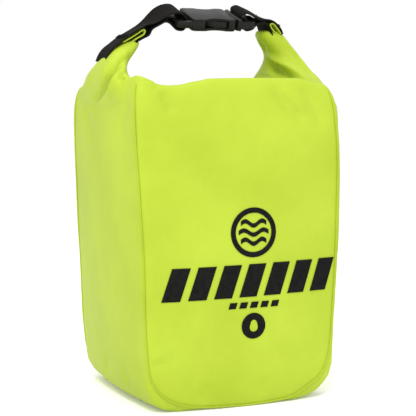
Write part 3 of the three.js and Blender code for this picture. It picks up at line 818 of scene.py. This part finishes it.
@dataclass
class BagSkin:
    """The whole cloth skin: four panels, base, shoulders and the two ears of the neck."""

    shape: BagShape = field(default_factory=BagShape)
    ears: Sequence[NeckEar] = (LEFT_EAR, RIGHT_EAR)
    voxel: float = 3.0
    frames: int = 16
    most_move: float = 2.0
    folds: Sequence[Fold] = ()

    def build(self) -> bpy.types.Object:
        """Joins the forms into one skin and shapes it.

        Returns:
            The skin.
        """
        bm = Bench.cube(46)
        for vert in bm.verts:
            vert.co = self.shape.place(*vert.co)
        for ear in self.ears:
            other = ear.build()
            mesh = bpy.data.meshes.new("ear")
            other.to_mesh(mesh)
            other.free()
            bm.from_mesh(mesh)
            bpy.data.meshes.remove(mesh)
        skin = Bench.piece(bm, "bag_skin", recalc=False)
        self.remesh(skin)
        co = Bench.points(skin) / MM
        joint = smooth(co[:, 2], 246, 262) * (1 - smooth(co[:, 2], 300, 312))
        Bench.relax(skin, 10, 0.12 + 0.5 * joint)
        self.inflate(skin)
        finer = skin.modifiers.new("finer", "SUBSURF")
        finer.levels = finer.render_levels = 1
        Bench.bake(skin)
        self.crease(skin)
        skin.data.shade_smooth()
        return skin

    @staticmethod
    def part_off(skin: bpy.types.Object, name: str, low_x: float, cut_z: float) -> bpy.types.Object:
        """Cuts the top of the right ear off the skin, and closes both along the cut.

        Args:
            skin: the whole skin, which loses that part.
            name: the new piece's name.
            low_x: only cloth to the right of this takes part, in metres.
            cut_z: the height of the cut, in metres.

        Returns:
            The part cut off.
        """
        made = []
        for keep_upper in (False, True):
            bm = bmesh.new()
            bm.from_mesh(skin.data)
            near = [v for v in bm.verts if v.co.x > low_x]
            inside = set(near)
            edges = [e for e in bm.edges if e.verts[0] in inside and e.verts[1] in inside]
            faces = [f for f in bm.faces if all(v in inside for v in f.verts)]
            bmesh.ops.bisect_plane(
                bm, geom=near + edges + faces, dist=1e-7, plane_co=(0, 0, cut_z), plane_no=(0, 0, 1),
                clear_outer=not keep_upper, clear_inner=keep_upper,
            )
            if keep_upper:
                away = [v for v in bm.verts if v.co.x <= low_x or v.co.z < cut_z - 1e-5]
                bmesh.ops.delete(bm, geom=away, context="VERTS")
            rim = [e for e in bm.edges if e.is_boundary]
            cap = bmesh.ops.holes_fill(bm, edges=rim, sides=0)["faces"]
            bmesh.ops.triangulate(bm, faces=cap)
            for edge in rim:
                edge.smooth = False
            made.append(bm)
        made[0].to_mesh(skin.data)
        made[0].free()
        top = Bench.piece(made[1], name, recalc=False)
        return top

    def remesh(self, skin: bpy.types.Object) -> None:
        """Fuses the forms into one even mesh."""
        fuse = skin.modifiers.new("fuse", "REMESH")
        fuse.mode = "VOXEL"
        fuse.voxel_size = self.voxel * MM
        Bench.bake(skin)

    def held(self, co: np.ndarray) -> np.ndarray:
        """How firmly each point is held: fully at the seams, the base and the mouth.

        Args:
            co: points in millimetres.

        Returns:
            Weights from 0 to 1.
        """
        hold = np.maximum(smooth(co[:, 2], 236, 258), 1 - smooth(co[:, 2], 1, 8))
        for line in SEAMS.values():
            hold = np.maximum(hold, Fold(line, 6.0, 1.0, taper=0.001).lift(co))
        return np.where(hold > 0.75, 1.0, hold)

    def inflate(self, skin: bpy.types.Object) -> None:
        """Fills the cloth with air for a moment, held at its seams, base and mouth."""
        start = Bench.points(skin)
        hold = self.held(start / MM)
        group = skin.vertex_groups.new(name="held")
        for i in np.flatnonzero(hold > 0.02):
            group.add([int(i)], float(hold[i]), "REPLACE")
        air = skin.modifiers.new("air", "CLOTH")
        air.settings.vertex_group_mass = group.name
        air.settings.quality = 4
        air.settings.mass = 0.15
        air.settings.tension_stiffness = 12.0
        air.settings.compression_stiffness = 12.0
        air.settings.bending_stiffness = 0.3
        air.settings.use_pressure = True
        air.settings.uniform_pressure_force = 4.0
        air.settings.effector_weights.gravity = 0.0
        air.point_cache.frame_start = 1
        air.point_cache.frame_end = self.frames
        for moment in range(1, self.frames + 1):
            bpy.context.scene.frame_set(moment)
        Bench.bake(skin)
        skin.vertex_groups.clear()
        moved = Bench.points(skin) - start
        far = np.linalg.norm(moved, axis=1)[:, None]
        log.info("air moved the cloth by up to %.1f mm", far.max() / MM)
        most = self.most_move * MM
        Bench.move(skin, start + moved * np.minimum(1.0, most / np.maximum(far, 1e-9)))
        Bench.relax(skin, 2, 0.4)
        bpy.context.scene.frame_set(1)

    def crease(self, skin: bpy.types.Object) -> None:
        """Presses the folds, tucks and seam lines into the cloth."""
        co = Bench.points(skin) / MM
        normal = Bench.normals(skin)
        lift = np.zeros(len(co))
        tree = BVHTree.FromObject(skin, bpy.context.evaluated_depsgraph_get())
        for fold in self.folds:
            lift += fold.lift(co, tree)
        co += normal * lift[:, None]
        co[:, 2] = np.maximum(co[:, 2], 0.0)
        Bench.move(skin, co * MM)


# ---------------------------------------------------------------- the loop


@dataclass
class SeamWelt:
    """A corner seam: the cloth's turned edge stands up as a thin round welt."""

    name: str
    line: Sequence[Point3]
    radius: float = 0.85
    sink: float = 0.25

    def build(self, tree: BVHTree) -> bpy.types.Object:
        """Lays a thin tube along the seam.

        Args:
            tree: the cloth's surface.

        Returns:
            The closed welt.
        """
        path = Path(self.line, 240)
        steps = 150
        points = []
        last = None
        for i in range(steps + 1):
            at = Vector(path.at(i / steps)) * MM
            spot, normal, _, _ = tree.find_nearest(at)
            spot = spot + normal * (self.radius - self.sink) * MM
            last = spot if last is None else last.lerp(spot, 0.6)
            points.append(last)
        return Bench.rope(self.name, points, self.radius * MM)


@dataclass
class BarTack:
    """A bar tack: thread sewn to and fro across the webbing."""

    node: str
    body: Body
    pitch: float = 0.62
    radius: float = 0.3

    def build(self, frame_nodes: dict[str, bpy.types.Object]) -> bpy.types.Object:
        """Sews a zigzag where the frame has its tack.

        Args:
            frame_nodes: the frame's nodes by name.

        Returns:
            The closed thread.
        """
        co = Bench.points(frame_nodes[self.node])
        mid = co.mean(axis=0)
        axes = np.linalg.svd(co - mid, full_matrices=False)[2]
        spread = (co - mid) @ axes.T
        low, high = spread.min(axis=0), spread.max(axis=0)
        count = int((high[0] - low[0]) / (self.pitch * MM))
        points = []
        for i in range(count + 1):
            along = low[0] + (high[0] - low[0]) * i / count
            across = high[1] if i % 2 else low[1]
            points.append(Vector(mid + np.array([along, across, (low[2] + high[2]) / 2]) @ axes))
        return Bench.rope(self.node + "_thread", points, self.radius * MM)


@dataclass
class LoopPlane:
    """The carry loop's upright plane, which leans forward as it rises, in millimetres."""

    rest: float = 255.5
    top: float = 325.0
    edge: float = 89.0
    lean: float = math.radians(19)

    def place(self, x: float, z: float, across: float) -> Vector:
        """A point on a strip that follows the loop.

        Args:
            x: across the bag.
            z: the height of the strip's centre line.
            across: along the strip's width, positive to the rear.

        Returns:
            The point in metres.
        """
        left = smooth(x, -self.edge + 21, -self.edge + 36)
        right = 1 - smooth(x, self.edge - 56, self.edge - 41)
        high = smooth(z, self.top - 41, self.top - 26)
        lean = self.lean * left * right * high
        y = -(z - self.rest - 6) * math.tan(self.lean) if z > self.rest + 6 else 0.0
        return Vector((x, y + across * math.cos(lean), z + across * math.sin(lean))) * MM


@dataclass
class RolledMouth:
    """The mouth's flat spiral of cloth along one stretch of the loop."""

    name: str
    line: Sequence[Point]
    body: Body
    replaces: str
    plane: LoopPlane = field(default_factory=LoopPlane)
    half_width: float = 12.4
    half_thick: float = 2.1
    cloth: float = 0.95
    steps: int = 90

    def section(self) -> Path:
        """The spiral that the cloth follows across the roll."""
        w, t = self.half_width, self.half_thick
        inner = t - 1.35
        turns = [
            (-w + 4.1, -inner), (0, -inner), (w - 3.4, -inner), (w - 2.6, 0), (w - 3.4, inner),
            (0, inner), (-w + 2.6, inner), (-w + 1.8, 0), (-w + 2.8, -t), (0, -t - 0.1), (w - 1.8, -t),
            (w - 0.6, 0), (w - 1.8, t), (0, t + 0.1), (-w + 1.4, t), (-w, 0), (-w + 1.0, -t + 0.6),
        ]
        return Path(turns, 300)

    def build(self) -> bpy.types.Object:
        """Sweeps the spiral along the loop.

        Returns:
            The closed roll.
        """
        section = self.section()
        path = Path(self.line)

        def place(u: float, v: float) -> Vector:
            across, out = section.at((u + 1) / 2)
            x, z = path.at(v)
            tx, tz = path.heading(v)
            wobble = 0.2 * math.sin(23 * v + 3 * u) + 0.15 * math.sin(41 * v)
            out += wobble
            return self.plane.place(x - tz * out, z + tx * out, across)

        bm = Bench.strip(110, self.steps, place, lambda u,
            v: (u * section.length * MM / 2, v * path.length * MM))
        return Bench.thicken(Bench.piece(bm, self.name), self.cloth * MM)


@dataclass
class WebbingTab:
    """A webbing tab: up outside the roll's arm, round a buckle bar and back under to the roll's tip."""

    name: str
    line: Sequence[Point]
    body: Body
    replaces: str = ""
    first: float = 0.0
    last: float = 1.0
    plane: LoopPlane = field(default_factory=LoopPlane)
    width: float = 25.0
    thick: float = 1.35

    def build(self) -> bpy.types.Object:
        """Bends a flat woven strip along the tab's line.

        Returns:
            The closed strip.
        """
        path = Path(self.line)

        def place(u: float, v: float) -> Vector:
            share = self.first + (self.last - self.first) * v
            x, z = path.at(share)
            tx, tz = path.heading(share)
            cup = 0.35 * (u * u - 0.4) + 0.2 * math.sin(14 * share + 2.2 * u)
            return self.plane.place(x - tz * cup, z + tx * cup, u * self.width / 2)

        run = path.length * (self.last - self.first) * MM
        along = max(12, int(run / MM))
        bm = Bench.strip(16, along, place, lambda u, v: (u * self.width * MM / 2, v * run))
        return Bench.thicken(Bench.piece(bm, self.name), self.thick * MM, 0.45 * MM)


def loop_lines() -> dict[str, list[Point]]:
    """The loop's centre lines as the frame has them, in millimetres.

    Returns:
        The two stretches of the roll and the two tabs.
    """
    top, edge, shoulder, rest = 325.0, 89.0, 266.0, 255.5
    bar = top - 4
    left_slot = 12.4 - 40.5 - 3.25
    right_slot = 12.4 + 5 + 3.25
    return {
        "roll_left": [
            (-edge + 0.5, top - 29.5), (-edge - 3.4, top - 34), (-edge - 6.1, top - 40.6),
            (-edge - 5, shoulder + 10.5), (-edge + 8, shoulder + 0.5), (-edge + 30, rest + 1.5), (0, rest),
            (edge * 0.78, rest + 2.5),
        ],
        "roll_right": [
            (edge * 0.78 + 2.6, rest + 3), (edge - 10.8, shoulder - 2), (edge - 9.6, shoulder + 8),
            (edge - 14.6, shoulder + 17.5), (edge - 21, top - 33), (edge - 27.5, top - 25),
            (edge - 32.2, top - 17.8),
        ],
        "hem_left": [
            (-edge + 4.0, top - 23.5), (-edge + 9.6, top - 20.4), (-edge + 15.5, top - 16.6),
            (-edge + 20.4, top - 13.4),
            (-edge + 21.9, top - 14.6), (-edge + 20.9, top - 17.3), (-edge + 16, top - 20.2),
            (-edge + 9.4, top - 24.8),
        ],
        "hem_right": [
            (edge - 30.8, top - 15.2), (edge - 34.8, top - 11.0), (edge - 39.8, top - 6.9),
            (edge - 42.0, top - 7.3),
            (edge - 41.2, top - 9.8), (edge - 37.2, top - 13.8), (edge - 33.6, top - 18.2),
        ],
        "tab_left": [
            (-edge - 9.8, top - 39.5), (-edge - 8.3, top - 34.5), (-edge - 5.4, top - 29.6),
            (-edge + 0.2, top - 24.7),
            (-edge + 6.4, top - 19.6), (-edge + 15.1, top - 14.4), (-edge + 22.7, top - 9.8),
            (-edge + 28.6, top - 6.4),
            (-edge + 33.2, top - 2.7), (-edge + 37, top + 0.5), (-edge + 43, top + 3.6),
            (left_slot - 7, top + 4.3),
            (left_slot - 1.6, top + 0.9), (left_slot, bar), (left_slot - 2.4, bar - 4.9),
            (left_slot - 8.6, bar - 4.6),
            (left_slot - 12.6, bar - 0.9), (-edge + 38.5, top - 2.6), (-edge + 32, top - 6.6),
            (-edge + 27.4, top - 11.6),
            (-edge + 25.2, top - 17.2), (-edge + 17.6, top - 22.0), (-edge + 12.4, top - 25.4),
        ],
        "tab_right": [
            (edge - 29, top - 15.6), (edge - 32.6, top - 10.4), (edge - 39.1, top - 5.3),
            (edge - 51.2, top - 0.5),
            (edge - 60, top + 3.3), (right_slot + 1.5, top + 5.2), (right_slot - 2.4, top + 3),
            (right_slot, bar),
            (right_slot + 2.4, bar - 4.9), (right_slot + 8.8, bar - 4.4), (edge - 54.5, top - 3.8),
            (edge - 48.5, top - 4.0),
            (edge - 43.9, top - 8.2), (edge - 38.9, top - 16.2), (edge - 35.8, top - 19.6),
        ],
    }


@dataclass
class HemLoop:
    """The folded end of the rolled mouth, caught between the two plies of a webbing tab."""

    name: str
    line: Sequence[Point]
    body: Body
    plane: LoopPlane = field(default_factory=LoopPlane)
    width: float = 24.0
    thick: float = 1.1

    def build(self) -> bpy.types.Object:
        """Bends a strip of cloth into the fold.

        Returns:
            The closed strip.
        """
        path = Path(self.line)

        def place(u: float, v: float) -> Vector:
            x, z = path.at(v)
            return self.plane.place(x, z, u * self.width / 2)

        bm = Bench.strip(14, 60, place, lambda u, v: (u * self.width * MM / 2, v * path.length * MM))
        return Bench.thicken(Bench.piece(bm, self.name), self.thick * MM, 0.3 * MM)


@dataclass
class Moulding:
    """A moulded buckle part: the frame's own shape with its edges rounded."""

    node: str
    body: Body
    round_over: float = 0.45

    def build(self, frame_nodes: dict[str, bpy.types.Object]) -> bpy.types.Object:
        """Copies the node's mesh, merges it and rounds its edges.

        Args:
            frame_nodes: the frame's nodes by name.

        Returns:
            The rounded moulding.
        """
        bm = bmesh.new()
        bm.from_mesh(frame_nodes[self.node].data)
        bmesh.ops.remove_doubles(bm, verts=bm.verts[:], dist=1e-6)
        bmesh.ops.dissolve_limit(bm, angle_limit=math.radians(1.5), verts=bm.verts[:], edges=bm.edges[:])
        sharp = [e for e in bm.edges if len(e.link_faces) == 2 and e.calc_face_angle(0) > math.radians(38)]
        bmesh.ops.bevel(
            bm, geom=sharp, offset=self.round_over * MM, affect="EDGES", segments=3, profile=0.5, material=-1,
            clamp_overlap=True,
        )
        obj = Bench.piece(bm, self.node + "_moulding", recalc=False)
        obj.data.set_sharp_from_angle(angle=math.radians(40))
        return obj


LOOSE_ENDS = (
    ((48.6, -2.0, 321.8), (49.4, -0.6, 324.6), (48.2, 0.4, 327.4)),
    ((49.6, -1.4, 321.4), (51.2, -0.2, 323.8), (52.2, 0.6, 325.2)),
    ((54.4, -3.0, 318.0), (56.2, -1.6, 320.6), (55.8, -1.0, 323.2)),
)


# ---------------------------------------------------------------- print


@dataclass
class PrintedMarks:
    """Generic black marks on the front panel: ringed waves, slanted bars, dashes and a disc with a drop."""

    lift: float = 0.35
    film: float = 0.25
    grid: float = 2.2

    def outline(self, points: Iterable[Point]) -> bmesh.types.BMesh:
        """A flat face through points in the X-Z plane; press cuts it into a fine grid later.

        Args:
            points: the outline in millimetres.

        Returns:
            The flat mesh, standing ahead of the panel.
        """
        bm = bmesh.new()
        verts = [bm.verts.new(Vector((x, -200, z)) * MM) for x, z in points]
        bm.faces.new(verts)
        return bm

    def cut(self, bm: bmesh.types.BMesh) -> None:
        """Cuts a flat mesh along a grid, so it can follow the cloth."""
        xs = [v.co.x / MM for v in bm.verts]
        zs = [v.co.z / MM for v in bm.verts]
        for low, high, normal, axis in ((min(xs), max(xs), (1, 0, 0), 0), (min(zs), max(zs), (0, 0, 1), 2)):
            at = low + self.grid
            while at < high:
                co = [0.0, 0.0, 0.0]
                co[axis] = at * MM
                geom = bm.verts[:] + bm.edges[:] + bm.faces[:]
                bmesh.ops.bisect_plane(bm, geom=geom, dist=1e-7, plane_co=co, plane_no=normal)
                at += self.grid

    def press(self, bm: bmesh.types.BMesh, tree: BVHTree, name: str, lift: float) -> bpy.types.Object:
        """Lays a flat mesh on the cloth as a thin film.

        Args:
            bm: the flat mesh.
            tree: the cloth's surface.
            name: the piece's name.
            lift: its distance off the cloth, in millimetres.

        Returns:
            The film.
        """
        self.cut(bm)
        for vert in bm.verts:
            hit, _, _, _ = tree.ray_cast(vert.co, Vector((0, 1, 0)))
            if hit is not None:
                vert.co.y = hit.y - lift * MM
        for face in bm.faces:
            if face.normal.y > 0:
                face.normal_flip()
        bm.normal_update()
        geom = bmesh.ops.extrude_face_region(bm, geom=bm.faces[:])["geom"]
        for vert in (g for g in geom if isinstance(g, bmesh.types.BMVert)):
            vert.co.y -= self.film * MM
        return Bench.piece(bm, name)

    def ring(self, x: float, z: float, outer: float, inner: float, count: int = 48) -> bmesh.types.BMesh:
        """A flat ring as a spun strip."""
        bm = bmesh.new()
        a = bm.verts.new(Vector((x + inner, -200, z)) * MM)
        b = bm.verts.new(Vector((x + outer, -200, z)) * MM)
        edge = bm.edges.new((a, b))
        bmesh.ops.spin(
            bm, geom=[edge, a, b], cent=Vector((x, -200, z)) * MM, axis=(0, 1, 0), angle=math.tau,
            steps=count,
            use_merge=True, use_duplicate=False,
        )
        bmesh.ops.remove_doubles(bm, verts=bm.verts[:], dist=1e-6)
        return bm

    def wave(self, x0: float, x1: float, z: float, high: float, thick: float) -> list[Point]:
        """A wavy band's outline."""
        steps = 18
        xs = [x0 + (x1 - x0) * i / steps for i in range(steps + 1)]
        mid = [z + high * math.sin(math.tau * 1.5 * i / steps) for i in range(steps + 1)]
        upper = [(x, m + thick / 2) for x, m in zip(xs, mid)]
        lower = [(x, m - thick / 2) for x, m in zip(xs, mid)]
        return upper + lower[::-1]

    def build(self, tree: BVHTree) -> list[tuple[bpy.types.Object, bool]]:
        """Builds every mark.

        Args:
            tree: the cloth's surface.

        Returns:
            (piece, is it dark ink) pairs.
        """
        made = []

        def dark(bm: bmesh.types.BMesh, name: str) -> None:
            made.append((self.press(bm, tree, name, self.lift), True))

        cx, cz = 4.5, 146.0
        dark(self.ring(cx, cz, 20.5, 16.2), "print_ring")
        for i, (half, z) in enumerate(((11.5, cz + 7.5), (13.5, cz), (11.5, cz - 7.5))):
            dark(self.outline(self.wave(cx - half, cx + half, z, 1.9, 3.6)), f"print_wave_{i + 1}")
        start, step, wide, slant = -75.0, 22.2, 15.5, 9.0
        for i in range(7):
            x = start + i * step
            low, high = 92.0 + 0.3 * i, 119.0 + 0.3 * i
            bar = [(x, low), (x + wide, low), (x + wide + slant, high), (x + slant, high)]
            dark(self.outline(bar), f"print_bar_{i + 1}")
        for i in range(5):
            x = -18.0 + i * 9.6
            dash = [(x, 83.5), (x + 6.4, 83.5), (x + 8.0, 88.5), (x + 1.6, 88.5)]
            dark(self.outline(dash), f"print_dash_{i + 1}")
        disc = [(4.8 + 10.8 * math.cos(a), 68.4 + 10.8 * math.sin(a)) for a in np.linspace(0, math.tau, 40,
            endpoint=False)]
        dark(self.outline(disc), "print_disc")
        drop = []
        for a in np.linspace(0, math.tau, 28, endpoint=False):
            reach = 3.6 * (1 + 0.75 * max(0.0, math.cos(a)) ** 4)
            drop.append((4.8 + reach * math.sin(a), 67.2 + reach * math.cos(a)))
        made.append((self.press(self.outline(drop), tree, "print_drop", self.lift + self.film + 0.05), False))
        return made


# ---------------------------------------------------------------- studio


@dataclass
class Studio:
    """Pale floor, soft light and the camera."""

    turn: float = 23.5
    tilt: float = 5.5
    far: float = 1.2
    height: float = 0.274
    focal: float = 119.16
    slide: float = 0.0017

    def floor(self) -> None:
        """Lays a wide pale sweep under the bag."""
        bm = bmesh.new()
        bmesh.ops.create_grid(bm, x_segments=1, y_segments=1, size=6.0)
        floor = Bench.piece(bm, "studio_floor")
        floor.location.z = -0.0002
        floor.data.materials.append(StudioPaint().build())

    def lamp(self, name: str, at: Point3, size: float, power: float) -> None:
        """Hangs a square soft light aimed at the bag.

        Args:
            name: the light's name.
            at: its place in metres.
            size: its side in metres.
            power: its power in watts.
        """
        data = bpy.data.lights.new(name, "AREA")
        data.shape = "SQUARE"
        data.size = size
        data.energy = power
        lamp = bpy.data.objects.new(name, data)
        lamp.location = at
        aim = Vector((0, 0, 0.16)) - Vector(at)
        lamp.rotation_euler = aim.to_track_quat("-Z", "Y").to_euler()
        bpy.context.scene.collection.objects.link(lamp)

    def light(self) -> None:
        """Sets a bright even room with a soft key from the upper left."""
        world = bpy.data.worlds.new("white_room")
        world.use_nodes = True
        world.node_tree.nodes["Background"].inputs["Color"].default_value = (1, 1, 1, 1)
        world.node_tree.nodes["Background"].inputs["Strength"].default_value = 1.0
        bpy.context.scene.world = world
        self.lamp("key", (-0.75, -1.25, 1.75), 0.7, 26)
        self.lamp("top", (0.4, 0.2, 1.9), 0.8, 7)

    def camera(self) -> None:
        """Sets the camera at eye level with the shoulder, turned to the left."""
        data = bpy.data.cameras.new("camera")
        data.lens = self.focal
        data.sensor_width = 36.0
        camera = bpy.data.objects.new("camera", data)
        a = math.radians(self.turn)
        right = Vector((math.cos(a), -math.sin(a), 0))
        back = Vector((-math.sin(a), -math.cos(a), 0))
        camera.location = back * self.far + right * self.slide + Vector((0, 0, self.height))
        camera.rotation_euler = (math.radians(90 - self.tilt), 0, -a)
        bpy.context.scene.collection.objects.link(camera)
        bpy.context.scene.camera = camera

    def build(self) -> None:
        """Builds the whole studio."""
        bpy.context.scene.view_settings.view_transform = "Standard"
        self.floor()
        self.light()
        self.camera()


def dress(obj: bpy.types.Object, material: bpy.types.Material) -> bpy.types.Object:
    """Gives a piece one material."""
    obj.data.materials.clear()
    obj.data.materials.append(material)
    return obj


def main() -> None:
    """Builds the bag on its frame and reports each piece."""
    logging.basicConfig(level=logging.INFO, format="%(name)s: %(message)s")
    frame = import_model()
    nodes = frame["nodes"]
    Studio().build()

    cloth = CoatedFabric("yellow_coated_fabric").build()
    # A darker, more saturated copy of the same coated fabric: painted shade on the rolled mouth, its folded
    # hems and the seam welts.
    shaded_cloth = CoatedFabric("yellow_fabric_painted_shade", low=(0.31, 0.40, 0.020),
        high=(0.38, 0.485, 0.032)).build()
    web = RibbedWebbing().build()
    plastic = MouldedAcetal().build()
    thread = Thread("black_thread", (0.012, 0.011, 0.010)).build()
    ink = PrintInk("black_screen_ink").build()
    drop_ink = PrintInk("yellow_drop", low=(0.345, 0.445, 0.026), high=(0.42, 0.535, 0.04)).build()

    skin = BagSkin(folds=CREASES).build()
    graph_tree = BVHTree.FromObject(skin, bpy.context.evaluated_depsgraph_get())
    neck_top = BagSkin.part_off(skin, "neck_top_right", 0.03, 0.283)
    for obj in (skin, neck_top):
        dress(obj, cloth)
        log.info("%s: %d faces", obj.name, len(obj.data.polygons))
    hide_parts("front_panel", "back_panel", "left_gusset", "right_gusset", "bottom_panel")
    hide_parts("neck_front", "neck_rear", "neck_left")
    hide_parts("neck_right")
    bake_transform(skin)
    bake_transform(neck_top)
    # The seam welts wear the painted-shade copy of the fabric.
    for name, line in SEAMS.items():
        welt = dress(SeamWelt(f"seam_welt_{name}", line).build(graph_tree), shaded_cloth)
        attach(welt, Body.BAG.value)
        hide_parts("front_seam_piping" if name == "front" else "rear_seam_piping")
        log.info("%s: %d faces", welt.name, len(welt.data.polygons))

    for mark, is_dark in PrintedMarks().build(graph_tree):
        dress(mark, ink if is_dark else drop_ink)
        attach(mark, Body.BAG.value)
    log.info("print laid on the front panel")

    lines = loop_lines()
    # The rolled mouth wears the painted-shade copy of the fabric.
    for roll in (
        RolledMouth("rolled_mouth_left", lines["roll_left"], Body.CLOSURE, "mouth_roll"),
        RolledMouth("rolled_mouth_right", lines["roll_right"], Body.ROLL_RIGHT, "mouth_roll_right", steps=50),
    ):
        obj = dress(roll.build(), shaded_cloth)
        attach(obj, roll.body.value)
        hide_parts(roll.replaces)
        log.info("%s: %d faces", obj.name, len(obj.data.polygons))
    # The folded hems wear the painted-shade copy of the fabric.
    for hem in (
        HemLoop("folded_hem_left", lines["hem_left"], Body.CLOSURE),
        HemLoop("folded_hem_right", lines["hem_right"], Body.ROLL_RIGHT),
    ):
        obj = dress(hem.build(), shaded_cloth)
        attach(obj, hem.body.value)
        log.info("%s: %d faces", obj.name, len(obj.data.polygons))
    for tab in (
        WebbingTab("webbing_loop_left", lines["tab_left"], Body.CLOSURE, "webbing_tab_left"),
        WebbingTab("webbing_loop_right", lines["tab_right"], Body.PLUG, "webbing_tab_right", 0.17, 0.86),
        WebbingTab("webbing_outer_right", lines["tab_right"], Body.ROLL_RIGHT, last=0.168),
        WebbingTab("webbing_inner_right", lines["tab_right"], Body.ROLL_RIGHT, first=0.862),
    ):
        obj = dress(tab.build(), web)
        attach(obj, tab.body.value)
        if tab.replaces:
            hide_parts(tab.replaces)
        log.info("%s: %d faces", obj.name, len(obj.data.polygons))
    for part in (
        Moulding("buckle_female", Body.CLOSURE),
        Moulding("buckle_male", Body.PLUG),
        Moulding("buckle_arm_front", Body.RELEASE_FRONT),
        Moulding("buckle_arm_rear", Body.RELEASE_REAR),
    ):
        obj = dress(part.build(nodes), plastic)
        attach(obj, part.body.value)
        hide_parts(part.node)
        log.info("%s: %d faces", obj.name, len(obj.data.polygons))
    for tack in (BarTack("bar_tack_left", Body.CLOSURE), BarTack("bar_tack_right", Body.ROLL_RIGHT)):
        obj = dress(tack.build(nodes), thread)
        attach(obj, tack.body.value)
        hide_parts(tack.node)
        log.info("%s: %d faces", obj.name, len(obj.data.polygons))
    for i, line in enumerate(LOOSE_ENDS):
        points = [Vector(p) * MM for p in Path(line, 24).samples]
        obj = dress(Bench.rope(f"frayed_thread_{i + 1}", points, 0.18 * MM), thread)
        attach(obj, Body.ROLL_RIGHT.value)
    for name in ("front_seam_tape", "rear_seam_tape", "mouth_stiffener", "mouth_stiffener_right"):
        dress(nodes[name], web)


if __name__ == "__main__":
    main()
